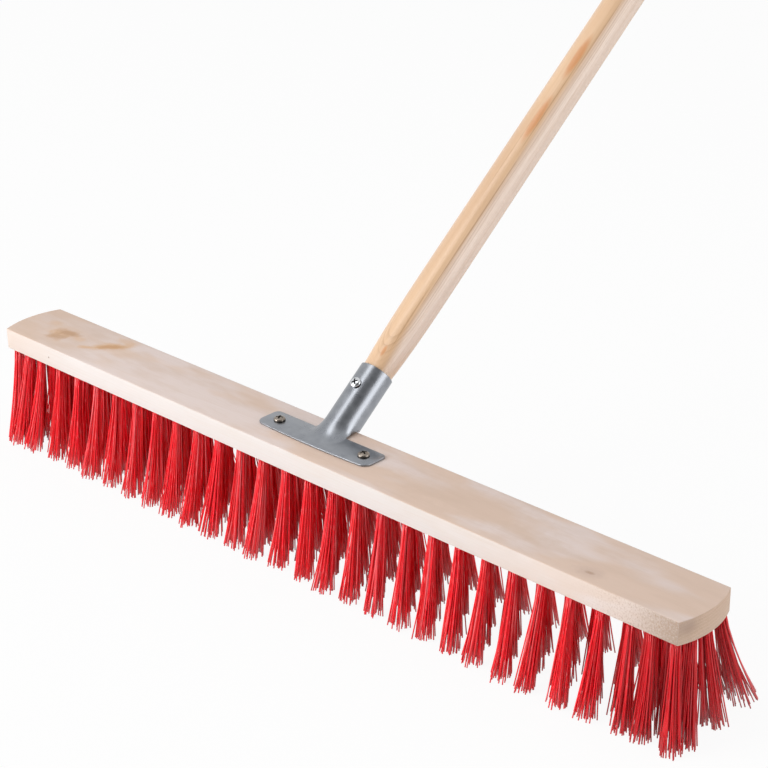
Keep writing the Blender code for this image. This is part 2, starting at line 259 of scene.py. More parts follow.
# %% Backdrop and floor
world = bpy.data.worlds.new("studio")
bpy.context.scene.world = world
world.use_nodes = True
sky = world.node_tree
looking = signal(sky, "ShaderNodeTexCoord", output="Generated")
behind_camera = looking.dot(tuple(Vector((0.56, -0.77, 0.28)).normalized()))
studio_light = from_to(behind_camera, 0.36, 0.84, smooth=True) * -0.79 + 0.95
rays = add(sky, "ShaderNodeLightPath").outputs
for kind, strength in (("Diffuse", 0.53), ("Camera", 1.0), ("Transmission", 1.0)):
    inputs = {0: Signal(rays[f"Is {kind} Ray"]), 2: studio_light, 3: strength}
    studio_light = signal(sky, "ShaderNodeMix", inputs)
sky.nodes["Background"].inputs["Color"].default_value = (1, 1, 1, 1)
sky.links.new(studio_light.socket, sky.nodes["Background"].inputs["Strength"])

floor_material, floor_tree, floor_shader = new_material(
    "white sweep", Roughness=1.0, Base_Color=(0.82, 0.82, 0.82, 1), Specular_IOR_Level=0.0
)
glow = signal(floor_tree, "ShaderNodeEmission", {"Color": (1, 1, 1, 1), "Strength": 1.0})
rays = add(floor_tree, "ShaderNodeLightPath").outputs
GLOWING_SHARE = 0.93
seen = Signal(rays["Is Camera Ray"])
for kind in ("Glossy", "Transmission"):
    seen = seen.step("MAXIMUM", seen, Signal(rays[f"Is {kind} Ray"]))
inputs = {0: seen * GLOWING_SHARE, 1: Signal(floor_shader.outputs[0]), 2: glow}
mixed = signal(floor_tree, "ShaderNodeMixShader", inputs)
floor_tree.links.new(mixed.socket, floor_tree.nodes["Material Output"].inputs["Surface"])

floor_mesh = bpy.data.meshes.new("floor")
FLOOR_HALF = 30.0
corners = [(x * FLOOR_HALF, y * FLOOR_HALF, 0) for x, y in ((-1, -1), (1, -1), (1, 1), (-1, 1))]
floor_mesh.from_pydata(corners, [], [(0, 1, 2, 3)])
floor = new_object("floor", floor_mesh)
floor_mesh.materials.append(floor_material)
floor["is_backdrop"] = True


# %% Lights
def area_light(name, direction, distance, size, power):
    """A soft square light at this direction from the broom's head, turned towards it."""
    data = bpy.data.lights.new(name, "AREA")
    data.shape, data.size, data.energy = "SQUARE", size, power
    light = new_object(name, data)
    away = Vector(direction).normalized()
    light.location = TOP + away * distance
    light.rotation_euler = away.to_track_quat("Z", "Y").to_euler()


area_light("overhead softbox", (-0.21, -0.28, 0.94), 2.4, 0.9, 8)
area_light("key softbox", (-0.53, -0.95, 0.36), 4.0, 2.6, 142)
area_light("side softbox", (0.93, 0.33, 0.12), 2.5, 1.9, 27)
print("floor, backdrop and three lights are set")

# %% [markdown]
# ## Mesh helpers
#
# Most pieces of a broom are turned, extruded or lofted: rings of points joined by faces, with
# a cap at each end. A finished piece keeps its place in its mesh, and its faces point out.

# %% Mesh helpers
def loft(rings):
    """A closed solid through rings that all have the same number of points."""
    bm = bmesh.new()
    layers = [[bm.verts.new(point) for point in ring] for ring in rings]
    for lower, upper in zip(layers, layers[1:]):
        for i in range(len(lower)):
            j = (i + 1) % len(lower)
            bm.faces.new((lower[i], lower[j], upper[j], upper[i]))
    bm.faces.new(layers[0])
    bm.faces.new(layers[-1])
    bmesh.ops.recalc_face_normals(bm, faces=bm.faces)
    return bm


def turned(profile, sides):
    """A solid of revolution about Z through (radius, height) points."""
    angles = [2 * math.pi * i / sides for i in range(sides)]
    return loft([[(r * math.cos(a), r * math.sin(a), z) for a in angles] for r, z in profile])


def extruded(outline, low, high):
    return loft([[(x, y, z) for x, y in outline] for z in (low, high)])


def pin(radius, low, high):
    return turned([(radius, low), (radius, high)], 32)


def arc(centre, radius, start, end, steps):
    """Points from angle start to angle end, both included."""
    angles = [start + (end - start) * i / steps for i in range(steps + 1)]
    return [(centre[0] + radius * math.cos(a), centre[1] + radius * math.sin(a)) for a in angles]


def as_object(name, bm, place=None):
    """A mesh object from bm, moved to its place in its own mesh."""
    mesh = bpy.data.meshes.new(name)
    if place is not None:
        bm.transform(place)
    bm.to_mesh(mesh)
    bm.free()
    return new_object(name, mesh)


def cut(piece, name, bm, place, operation="DIFFERENCE"):
    """Adds an exact Boolean; its tool, made from bm, goes once the piece is finished."""
    tool = as_object(name, bm, place)
    modifier = piece.modifiers.new(operation.title(), "BOOLEAN")
    modifier.operation, modifier.solver, modifier.object = operation, "EXACT", tool
    tool.hide_render = tool.hide_viewport = True
    return tool


def finish_piece(piece, nodes, material=None, sharp=30.0, tools=(), place=None):
    """Bakes the modifiers into a plain mesh, smooths it, and puts it in the place of its solids."""
    graph = bpy.context.evaluated_depsgraph_get()
    mesh = bpy.data.meshes.new_from_object(piece.evaluated_get(graph))
    old, name = piece.data, piece.name
    piece.modifiers.clear()
    piece.data = mesh
    bpy.data.meshes.remove(old)
    mesh.name = name
    if place is not None:
        mesh.transform(place)
    mesh.shade_smooth()
    mesh.set_sharp_from_angle(angle=math.radians(sharp))
    if material:
        mesh.materials.clear()
        mesh.materials.append(material)
    for tool in tools:
        bpy.data.objects.remove(tool, do_unlink=True)
    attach(piece, "root")
    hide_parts(*nodes)
    mesh.calc_loop_triangles()
    print(f"{name}: {len(mesh.loop_triangles)} triangles")


# %% [markdown]
# ## Where the tufts are
#
# The block carries four staggered rows of tufts, 17.5 mm apart, with a tuft every 27.9 mm
# along each row. Towards both ends the tufts stand closer, so that the corners of the broom
# are full. The outer rows lean outwards, which makes the broom sweep wider than its block.
# The same columns were used for the solids, one slice to a column. The leans are the ones of
# this broom as it was photographed: the rear row leans most, the tufts at both ends lean to
# the right, the last one of the rear row is splayed, and no two tufts lean quite alike. The
# table has a line for each row, and the leans between its places along X are interpolated.
# At the left end the last holes were drilled a little closer together.

# %% Tuft places
BLOCK_LENGTH = block_high.x - block_low.x
BLOCK_WIDTH = block_high.y - block_low.y
ROW_EDGE = 0.00625
TUFT_PITCH = 0.0279
CORNER_INSET, CORNER_STEP = 0.0124, 0.0210
MIDDLE_INSET, END_STEP = 0.0113, 0.0180
LEAN_PLACES = (-0.388, -0.372, -0.330, 0.000, 0.070, 0.160, 0.330, 0.388)
LEANS_ALONG = (
    (0.009, -0.006, 0, 0, 0, 0, 0, 0.003),
    (0.012, -0.004, 0, 0, 0, 0, 0, 0.009),
    (0.014, 0.002, 0, 0, 0, 0, 0, 0.009),
    (0.012, 0.004, 0, 0, -0.010, -0.008, -0.004, 0.006),
)
LEANS_ACROSS = (
    (*[-0.0145] * 7, -0.0065),
    (*[-0.0090] * 7, -0.0110),
    (*[-0.0015] * 7, 0.0070),
    (*[0.0185] * 4, 0.0175, 0.0175, 0.0185, 0.0330),
)
MOST_FORWARD = -0.0157
LEFT_NUDGE = ((-0.388, -0.370, -0.350), (0.0040, -0.0015, 0.0))
SPREAD_PLACES = (-0.385, -0.350, -0.060, 0.060, 0.370, 0.385)
SPREADS, END_SPREADS = (1.30, 1.18, 1.14, 1.0, 1.0), (1.0, 1.10, 1.30, 1.70)
FULL_PLACES = (-0.385, -0.35, 0.360, 0.385)
FULLNESS, END_FULLNESS = (1.35, 1.0, 1.0), (1.15, 1.35, 1.50, 1.50)


def tuft_columns():
    """Columns for x >= 0: the places along X of the first and third row, and of the others."""
    half = BLOCK_LENGTH / 2
    last = half - CORNER_INSET - CORNER_STEP - END_STEP
    count = round(last / TUFT_PITCH - 0.5)
    pitch = last / (count + 0.5)
    columns = [(None, 0.0)] + [((i - 0.5) * pitch, i * pitch) for i in range(1, count + 1)]
    columns.append((last, half - MIDDLE_INSET - 2 * END_STEP))
    columns.append((last + END_STEP, half - MIDDLE_INSET - END_STEP))
    columns.append((half - CORNER_INSET, half - MIDDLE_INSET))
    return columns


ROW_PLACES = [ROW_EDGE - BLOCK_WIDTH / 2 + i * (BLOCK_WIDTH - 2 * ROW_EDGE) / 3 for i in range(4)]


def tuft_row(y):
    return min(range(4), key=lambda i: abs(ROW_PLACES[i] - y))


def tuft_lean(x, y):
    """How far a tuft's tip lies from its root, along X and along Y."""
    row = tuft_row(y)
    own = random.Random(round(x * 1e4) * 1000 + round(y * 1e4))
    along, across = (
        float(np.interp(x, LEAN_PLACES, table[row])) + own.uniform(-0.0025, 0.0025)
        for table in (LEANS_ALONG, LEANS_ACROSS)
    )
    return along, max(across, MOST_FORWARD)


def tuft_fullness(x, y):
    """How much thicker than most a tuft is at its root."""
    return float(np.interp(x, FULL_PLACES, (*FULLNESS, END_FULLNESS[tuft_row(y)])))


def tuft_spread(x, y):
    """How much wider than most a tuft is at its tips."""
    return float(np.interp(x, SPREAD_PLACES, (*SPREADS, END_SPREADS[tuft_row(y)])))


COLUMNS = tuft_columns()
slices = {}
for number in range(1, 2 * len(COLUMNS)):
    column = COLUMNS[abs(number - len(COLUMNS))]
    side = 1 if number >= len(COLUMNS) else -1
    ends = [(side * column[i % 2], y) for i, y in enumerate(ROW_PLACES) if column[i % 2] is not None]
    places = [(x + float(np.interp(x, *LEFT_NUDGE)), y) for x, y in ends]
    slices[f"bristles_{number:02d}"] = places
all_tufts = [place for places in slices.values() for place in places]
print(len(slices), "slices with", len(all_tufts), "tufts")

# %% [markdown]
# ## Wood
#
# A plank shows the growth rings of the log it was sawn from. The material holds such a log:
# the distance from its middle, bent a little by noise, is cut into rings, and every face of
# the block then shows the right pattern by itself, long streaks on the top and thin layers on
# the ends. Knots and brown streaks are soft ovals laid over it, each at its own place.

# %% Wood building blocks
def placed(tree, location=(0, 0, 0), rotation=(0, 0, 0)):
    """Object coordinates, moved and turned."""
    coordinates = signal(tree, "ShaderNodeTexCoord", output="Object")
    values = {"Vector": coordinates, "Location": location, "Rotation": rotation}
    return signal(tree, "ShaderNodeMapping", values)


def noise(vector, scale, detail=3.0, roughness=0.5):
    """Soft noise, finer as the scale grows; a scale of three numbers draws it out."""
    if isinstance(scale, tuple):
        vector, scale = vector * scale, 1.0
    values = {"Vector": vector, "Scale": scale, "Detail": detail, "Roughness": roughness}
    return signal(vector.tree, "ShaderNodeTexNoise", values)


def ring_lines(distance, pitch, sharpness):
    """Growth rings: 0 in the pale early wood, rising to 1 in the thin late wood."""
    part = (distance / pitch).function("FRACT")
    return part**sharpness * from_to(part, 0.94, 1.0, 1.0, 0.0, smooth=True)


def oval(vector, centre, half_sizes, turn_z=0.0, ragged=0.35, edge=0.6):
    """A soft oval mark, 1 in its middle, with a ragged edge."""
    values = {"Vector": vector - centre, "Angle": -turn_z}
    spun = signal(vector.tree, "ShaderNodeVectorRotate", values, rotation_type="Z_AXIS")
    reach = (spun * tuple(1 / size for size in half_sizes)).length()
    rough = noise(vector, 130.0) * (ragged * 2) - ragged
    return from_to(reach + rough, 1.0, 1.0 - edge, smooth=True)


# %% [markdown]
# ### The block's wood
#
# The block is bare, planed, pale hardwood with a pinkish cast. Its rings are faint. A big
# knot and a curved brown streak lie near the left end, and a small knot with a ring of curly
# grain near the right end. The last stretch of the front is rougher, with fine fleck.

# %% Block wood
block_wood, wood, wood_shader = new_material(
    "planed pale hardwood", Roughness=0.6, Specular_IOR_Level=0.32
)
at = placed(wood, location=tuple(-TOP))
KNOTS = [
    ((-0.343, -0.005, 0.0), (0.0170, 0.0110, 0.03), 0.15),
    ((-0.287, 0.004, 0.0), (0.0240, 0.0085, 0.03), 0.80),
    ((0.3045, -0.020, 0.0), (0.0050, 0.0025, 0.03), 0.10),
]
LOG_MIDDLE, LOG_TAPER, RING_PITCH, KNOT_SWIRL = (0.0, 0.010, -0.300), 0.03, 0.0030, 0.0045
log = (at - LOG_MIDDLE) * (LOG_TAPER, 1.0, 1.0)
distance = log.length() + noise(at, (2.2, 14.0, 14.0), 2.0) * 0.013
distance = distance + noise(at, (14.0, 90.0, 90.0), 2.0) * 0.0022
for centre, (length, width, depth), angle in KNOTS:
    wide = oval(at, centre, (length * 2.2, width * 2.6, depth), angle, ragged=0.1, edge=1.0)
    distance = distance + wide * KNOT_SWIRL
rings = ring_lines(distance, RING_PITCH, 2.2)

fibre = noise(at, (22.0, 900.0, 900.0), 4.0, 0.65)
clouds = noise(at, (9.0, 28.0, 28.0))
patches = noise(at, (11.0, 45.0, 45.0), 4.0, 0.6)
place_x = parts_of(at)[0]
facing_x, facing_y, _ = parts_of(signal(wood, "ShaderNodeNewGeometry", output="True Normal"))
PALE_MIDDLE = -0.17
off_middle = (place_x - PALE_MIDDLE).function("ABSOLUTE")
tanned = clouds + from_to(off_middle, 0.09, 0.20, -0.09, 0.03, smooth=True)
left_end = from_to(place_x, -0.32, -0.27, 0.42, 0.0, smooth=True)
right_end = from_to(place_x, 0.27, 0.37, 0.0, 0.12, smooth=True)
front = from_to(facing_y, -0.6, -0.9)
# Painted light: the front face is made a more neutral off-white, as strong light washes it out; least
# so near both ends.
painted_front_light = front * from_to(place_x, 0.14, 0.35, 0.78, 0.25) * from_to(place_x, -0.40, -0.30, 0.55, 1.0)
PALE, WARM = (0.735, 0.622, 0.582), (0.700, 0.535, 0.440)
colour = layered(
    mix_colour(from_to(tanned, 0.42, 0.60, smooth=True), PALE, WARM),
    (from_to(patches, 0.48, 0.66, 0.0, 0.48), (0.62, 0.46, 0.365)),
    (left_end + right_end, (0.61, 0.45, 0.35)),
    (painted_front_light, (0.646, 0.616, 0.596)),
    (rings * from_to(front, 0.0, 1.0, 0.15, 0.07), (0.580, 0.420, 0.320)),
    (from_to(fibre, 0.5, 0.78, 0.0, 0.26), (0.600, 0.460, 0.360)),
)

# %% Knots, end grain and fleck of the block
TAN, BROWN, ROSY_BROWN = (0.665, 0.437, 0.275), (0.530, 0.290, 0.140), (0.480, 0.290, 0.175)
PALE_TAN, GREY_BROWN, DARK_KNOT = (0.610, 0.455, 0.355), (0.560, 0.415, 0.345), (0.400, 0.250, 0.170)
MARKS = [
    ((-0.3437, -0.0015), (0.0250, 0.0105), 0.15, 0.80, TAN),
    ((-0.3450, -0.0090), (0.0170, 0.0135), -0.60, 0.75, TAN),
    ((-0.3400, 0.0005), (0.0210, 0.0080), 0.15, 0.80, ROSY_BROWN),
    ((-0.3430, -0.0110), (0.0150, 0.0105), 0.40, 0.70, ROSY_BROWN),
    ((-0.3676, 0.0086), (0.0130, 0.0080), 0.30, 0.50, TAN),
    ((-0.3204, -0.0008), (0.0110, 0.0065), 0.00, 0.50, TAN),
    ((-0.3015, -0.0088), (0.0130, 0.0050), 0.52, 0.85, TAN),
    ((-0.2925, -0.0010), (0.0140, 0.0085), 0.92, 0.95, TAN),
    ((-0.2830, 0.0082), (0.0180, 0.0110), 0.63, 1.00, TAN),
    ((-0.2745, 0.0165), (0.0130, 0.0090), 1.20, 0.85, TAN),
    ((-0.2800, 0.0240), (0.0190, 0.0090), 0.20, 0.55, TAN),
    ((-0.2840, 0.0060), (0.0200, 0.0068), 0.70, 0.75, BROWN),
    ((0.1700, 0.0040), (0.1200, 0.0340), 0.00, 0.34, PALE_TAN),
    ((0.2300, -0.0060), (0.0450, 0.0120), 0.05, 0.30, PALE_TAN),
    ((0.3035, -0.0195), (0.0175, 0.0105), 0.10, 0.55, GREY_BROWN),
    ((0.3045, -0.0200), (0.0062, 0.0032), 0.10, 0.60, DARK_KNOT),
]
for (x, y), (length, width), angle, strength, shade in MARKS:
    mark = oval(at, (x, y, 0.0), (length, width, 0.03), angle, ragged=0.45, edge=0.8)
    colour = mix_colour(mark * strength, colour, shade)
speckle = oval(at, (-0.329, -0.0325, -0.011), (0.0010, 0.004, 0.0010), edge=0.5)
colour = mix_colour(speckle * 0.8, colour, (0.16, 0.09, 0.05))

end_grain = from_to(facing_x.function("ABSOLUTE"), 0.55, 0.8)
pores = noise(at, 2600.0, 2.0, 0.7)
near_corner = oval(at, (0.398, -0.024, -0.006), (0.03, 0.017, 0.013), ragged=0.3, edge=1.0)
end_colour = layered(
    mix_colour(from_to(pores, 0.42, 0.66), (0.62, 0.455, 0.345), (0.44, 0.290, 0.200)),
    (rings * 0.30, (0.33, 0.215, 0.14)),
    (near_corner * 0.75, (0.36, 0.245, 0.180)),
)
rough_end = front * from_to(place_x, 0.338, 0.396, smooth=True)
flecks = noise(at, (620.0, 800.0, 520.0), 3.0, 0.8)
fleck_zone = front * from_to(place_x, 0.28, 0.385, smooth=True)
colour = layered(
    colour,
    (end_grain * 0.85, end_colour),
    (rough_end * 0.86, (0.36, 0.260, 0.195)),
    (fleck_zone * from_to(flecks, 0.51, 0.61) * 0.80, (0.40, 0.270, 0.195)),
    (fleck_zone * from_to(flecks, 0.47, 0.36) * 0.55, (0.66, 0.570, 0.490)),
)
grooves = pores * (end_grain + fleck_zone) + fibre
set_shader(
    wood_shader, Base_Color=colour, Normal=bump(grooves, 0.22, 0.0004),
    Roughness=from_to(fibre, 0.3, 0.7, 0.52, 0.70),
)
print("block wood:", len(wood.nodes), "nodes")

# %% [markdown]
# ### The handle's wood
#
# The handle is turned from a softwood stick and rubbed smooth. Its rings lie almost along it,
# so they meet the round surface at a very flat angle: a plain band runs up the front, a
# bundle of thin lines runs beside it, and the lines close in a loop above the socket. The
# material turns the broom's coordinates into the handle's own, with Z up its axis, and moves
# the middle of the log nearer at the low end, which closes the loop. One side is painted
# lighter, a painted sheen of the light from the right, and a broad zone on the left above the
# socket is painted shade. Two tips of dark wood further up are orange flames.

# %% Handle wood
handle_wood, pine, pine_shader = new_material(
    "turned softwood", Roughness=0.36, Specular_IOR_Level=0.5, Coat_Weight=0.8, Coat_Roughness=0.30
)
HANDLE_RADIUS = 0.01625
lean_back = math.pi / 2 - HANDLE_RISE
foot_turned = Matrix.Rotation(lean_back, 4, "X") @ SOCKET_FOOT
stick = placed(pine, location=tuple(-foot_turned), rotation=(lean_back, 0, 0))
stick_x, stick_y, stick_z = parts_of(stick)
LOOP_TURN, LOG_AWAY, RIPPLE = math.radians(11), 0.055, 0.0005
closing = from_to(stick_z, 0.050, 0.112, -0.0042, 0.0, smooth=True)
away = (stick_z * 19.0).function("SINE") * 0.0003 + (closing + LOG_AWAY)
away = (noise(stick, (8.0, 8.0, 3.0), 2.0) - 0.5) * 0.0022 + away
log_x = away * math.sin(LOOP_TURN) + stick_x
log_y = away * -math.cos(LOOP_TURN) + stick_y
reach = noise(stick, (120.0, 120.0, 10.0), 2.0) * RIPPLE + triple(pine, log_x, log_y, 0.0).length()
inwards = LOG_AWAY + HANDLE_RADIUS + RIPPLE / 2 - reach
bundle = from_to(inwards, 0.0015, 0.0023, 0.10, 1.0, smooth=True)
bundle = bundle * from_to(inwards, 0.0036, 0.0056, 0.85, 0.22, smooth=True)
pine_rings = ring_lines(reach, 0.0012, 3.0) * bundle

pine_fibre = noise(stick, (800.0, 800.0, 14.0), 3.0, 0.6)
pine_patches = noise(stick, (30.0, 30.0, 7.0), 2.0)
# Painted sheen: the side that faces the light from the right is made lighter and less saturated.
towards_sheen_side = triple(pine, stick_x, stick_y, 0.0).dot((0.97, -0.24, 0.0))
painted_side_sheen = from_to(towards_sheen_side, 0.0118, 0.0152, smooth=True)
pine_colour = layered(
    mix_colour(from_to(pine_patches, 0.35, 0.65), (0.685, 0.455, 0.277), (0.610, 0.388, 0.226)),
    (painted_side_sheen * 0.70, (0.845, 0.700, 0.615)),
    (pine_rings * 0.66, (0.36, 0.190, 0.085)),
    (from_to(pine_fibre, 0.46, 0.72, 0.0, 0.42), (0.52, 0.320, 0.175)),
)

# %% Flames and sheen of the handle
FLAME, DARK_LINE, PAINTED_SHADE = (0.56, 0.245, 0.085), (0.40, 0.220, 0.105), (0.565, 0.355, 0.212)
PINE_MARKS = [
    # The first mark is painted shade, a darker zone on the left of the handle; the rest are flames
    # and grain lines.
    ((-0.0045, -0.0155, 0.240), 0.0150, 0.130, 0.50, PAINTED_SHADE),
    ((0.0050, -0.0154, 0.404), 0.0046, 0.031, 1.00, FLAME),
    ((0.0052, -0.0153, 0.333), 0.0043, 0.032, 0.95, FLAME),
    ((0.0045, -0.0150, 0.077), 0.0022, 0.007, 0.90, FLAME),
    ((0.0084, -0.0139, 0.355), 0.0006, 0.075, 0.70, DARK_LINE),
    ((0.0100, -0.0128, 0.430), 0.0007, 0.065, 0.60, DARK_LINE),
    ((0.0104, -0.0125, 0.215), 0.0006, 0.120, 0.65, DARK_LINE),
    ((0.0085, -0.0138, 0.115), 0.0007, 0.045, 0.60, DARK_LINE),
    ((0.0020, -0.0160, 0.290), 0.0006, 0.060, 0.45, DARK_LINE),
]
for centre, width, length, strength, shade in PINE_MARKS:
    mark = oval(stick, centre, (width, 0.02, length), ragged=0.10, edge=0.6)
    pine_colour = mix_colour(mark * strength, pine_colour, shade)
pine_grooves = noise(stick, (420.0, 420.0, 14.0), 2.0)
set_shader(
    pine_shader, Base_Color=pine_colour, Normal=bump(pine_grooves, 0.06, 0.0003),
    Roughness=from_to(pine_rings, 0.0, 1.0, 0.40, 0.30),
)
print("handle wood:", len(pine.nodes), "nodes")

# %% [markdown]
# ## The wooden block
#
# The block is sawn to shape with bulged ends, its edges are only just broken, and the holes
# for the tufts are drilled from below. Drilling 122 holes one by one would be slow work, so
# Geometry Nodes put a drill on every tuft place and cut all of them out in one step. The
# holes lean as their tufts do, the way a brush-making machine drills them.

# %% Geometry Nodes helpers
def geometry_tree(name, inputs):
    """A new Geometry Nodes tree with named inputs; gives the tree and the inputs' signals."""
    tree = bpy.data.node_groups.new(name, "GeometryNodeTree")
    for way in ("INPUT", "OUTPUT"):
        tree.interface.new_socket("Geometry", in_out=way, socket_type="NodeSocketGeometry")
    for label, kind, value in inputs:
        socket = tree.interface.new_socket(label, in_out="INPUT", socket_type=f"NodeSocket{kind}")
        if value is not None:
            socket.default_value = value
    given = tree.nodes.new("NodeGroupInput").outputs
    return tree, {label: Signal(given[label]) for label in ("Geometry", *(row[0] for row in inputs))}


def real(copies):
    """Copies as geometry of their own."""
    return signal(copies.tree, "GeometryNodeRealizeInstances", {0: copies})


def end_tree(tree, geometry, material):
    """Ends a tree: the geometry is made real, gets its material and goes out."""
    values = {"Geometry": real(geometry), "Material": material}
    coated = signal(tree, "GeometryNodeSetMaterial", values)
    add(tree, "NodeGroupOutput", {0: coated})
    print(f"{tree.name}: {len(tree.nodes)} nodes")


def use_tree(piece, tree, **values):
    """Puts the tree on a piece; values are given by input name, with _ for a space."""
    modifier = piece.modifiers.new(tree.name, "NODES")
    modifier.node_group = tree
    for item in tree.interface.items_tree:
        key = item.name.replace(" ", "_").lower()
        if item.item_type == "SOCKET" and item.in_out == "INPUT" and key in values:
            modifier[item.identifier] = values[key]


def read(tree, name, kind="FLOAT_VECTOR"):
    return signal(tree, "GeometryNodeInputNamedAttribute", {"Name": name}, data_type=kind)


def solid_of(tree, operation, inputs):
    """An exact Boolean of the mesh at input 0, if any, and those at input 1."""
    return signal(tree, "GeometryNodeMeshBoolean", inputs, operation=operation, solver="EXACT")


def cylinder(radius, depth, sides):
    values = {"Vertices": sides, "Radius": radius, "Depth": depth}
    return signal(radius.tree, "GeometryNodeMeshCylinder", values)


def tube_along(curve, sides, radius):
    """A closed tube that follows a curve."""
    size = {"Resolution": sides, "Radius": radius}
    ring = signal(curve.tree, "GeometryNodeCurvePrimitiveCircle", size)
    values = {"Curve": curve, "Profile Curve": ring, "Fill Caps": True}
    return signal(curve.tree, "GeometryNodeCurveToMesh", values)


def point_cloud(name, places):
    """A mesh of loose points, one for each tuft, that knows how it leans and how full it is."""
    mesh = bpy.data.meshes.new(name)
    mesh.from_pydata([HEAD + Vector((x, y, UNDERSIDE)) for x, y in places], [], [])
    for label, kind, field, measure in (
        ("lean", "FLOAT_VECTOR", "vector", lambda x, y: (*tuft_lean(x, y), 0.0)),
        ("fullness", "FLOAT", "value", tuft_fullness),
        ("spread", "FLOAT", "value", tuft_spread),
    ):
        attribute = mesh.attributes.new(label, kind, "POINT")
        for item, (x, y) in zip(attribute.data, places):
            setattr(item, field, measure(x, y))
    return new_object(name, mesh)


# %% Drilling tree
drill, given = geometry_tree("drilled block", [
    ("Tuft Places", "Object", None), ("Hole Radius", "Float", 0.004),
    ("Hole Depth", "Float", 0.012), ("Drop", "Float", 0.09), ("Wood", "Material", None),
])
tufts = signal(drill, "GeometryNodeObjectInfo", {
    "Object": given["Tuft Places"],
}, "Geometry", transform_space="RELATIVE")
upwards = triple(drill, 0.0, 0.0, given["Drop"]) - read(drill, "lean")
bit = cylinder(given["Hole Radius"], given["Hole Depth"], 20)
bits = signal(drill, "GeometryNodeInstanceOnPoints", {
    "Points": tufts, "Instance": bit,
    "Rotation": signal(drill, "FunctionNodeAlignRotationToVector", {"Vector": upwards}, axis="Z"),
})
drilled = solid_of(drill, "DIFFERENCE", {0: given["Geometry"], 1: real(bits)})
end_tree(drill, drilled, given["Wood"])

# %% The block
END_BULGE = 0.0068


def block_outline(steps):
    radius = ((BLOCK_WIDTH / 2) ** 2 + END_BULGE**2) / (2 * END_BULGE)
    half = math.asin(BLOCK_WIDTH / 2 / radius)
    right = arc((BLOCK_LENGTH / 2 - radius, 0), radius, -half, half, steps)
    return right + [(-x, -y) for x, y in right]


plank = extruded(block_outline(40), UNDERSIDE, TOP.z)
block = as_object("wooden_block", plank, Matrix.Translation(HEAD))
edges = block.modifiers.new("broken edges", "BEVEL")
edges.width, edges.segments, edges.limit_method = 0.0007, 3, "ANGLE"
edges.angle_limit = math.radians(40)
places = point_cloud("tuft places", all_tufts)
use_tree(block, drill, tuft_places=places, drop=UNDERSIDE, wood=block_wood)
finish_piece(block, ["block"], block_wood, tools=[places])

# %% [markdown]
# ## The bristles
#
# Each tuft is a bundle of stiff plastic filament, folded over a wire and pulled into its
# hole, so all its strands leave the block from a round bundle and flare towards the tips.
# Geometry Nodes copy every tuft place once for each strand and give the copies places in the
# bundle by the golden angle, as seeds sit in a sunflower. A strand is a curve from its root
# to its tip, bent a little on the way, with a slim five-sided section. The tips are cut
# unevenly, and a few strands stray.

# %% Tuft tree
bristle, given = geometry_tree("bristle tufts", [
    ("Strands", "Int", 44), ("Root Radius", "Float", 0.0032), ("Tip Radius", "Float", 0.0086),
    ("Strand Radius", "Float", 0.00056), ("Buried", "Float", 0.004),
    ("Free Length", "Float", 0.092), ("Uneven Tips", "Float", 0.006), ("Stray", "Float", 0.0026),
    ("Bend", "Float", 0.0012), ("Lean Curve", "Float", 0.15), ("Flare", "Float", 0.6),
    ("Seed", "Int", 0), ("Filament", "Material", None),
])
GOLDEN_ANGLE = 2.39996
copies = add(bristle, "GeometryNodeDuplicateElements", {
    "Geometry": given["Geometry"], "Amount": given["Strands"],
}, domain="POINT").outputs
number = Signal(copies["Duplicate Index"])
every = signal(bristle, "GeometryNodeInputIndex")


def drawn(low, high, draw):
    """A random number for every strand, from the draw of this number."""
    values = {2: low, 3: high, "ID": every, "Seed": given["Seed"] + draw}
    return signal(bristle, "FunctionNodeRandomValue", values, output=1, data_type="FLOAT")


def stored(geometry, name, value, kind="FLOAT_VECTOR"):
    values = {"Geometry": geometry, "Name": name, "Value": value}
    settings = {"data_type": kind, "domain": "POINT"}
    return signal(geometry.tree, "GeometryNodeStoreNamedAttribute", values, **settings)


share_out = ((number + 0.5) / given["Strands"]).function("SQRT")
angle = number * GOLDEN_ANGLE + drawn(-0.2, 0.2, 0)
outwards = triple(bristle, angle.function("COSINE"), angle.function("SINE"), 0.0)
root_reach = share_out * given["Root Radius"] * read(bristle, "fullness", "FLOAT")
tip_reach = share_out * given["Tip Radius"] * drawn(0.82, 1.18, 1)
tip_reach = tip_reach * read(bristle, "spread", "FLOAT")
stray = drawn(0.0, 1.0, 2) ** 9.0 * given["Stray"]
lift = drawn(0.0, 1.0, 3) ** 2.2 * given["Uneven Tips"]
bow_y, bow_x = (drawn(-1.0, 1.0, draw) * given["Bend"] for draw in (4, 5))
kept = Signal(copies["Geometry"])
for name, value in (
    ("root", outwards * root_reach),
    ("tip", outwards * (tip_reach + stray)),
    ("fall", triple(bristle, 0.0, 0.0, lift - given["Free Length"])),
    ("bow", triple(bristle, bow_x, bow_y, 0.0)),
):
    kept = stored(kept, name, value)
kept = stored(kept, "tone", drawn(0.0, 1.0, 6), "FLOAT")

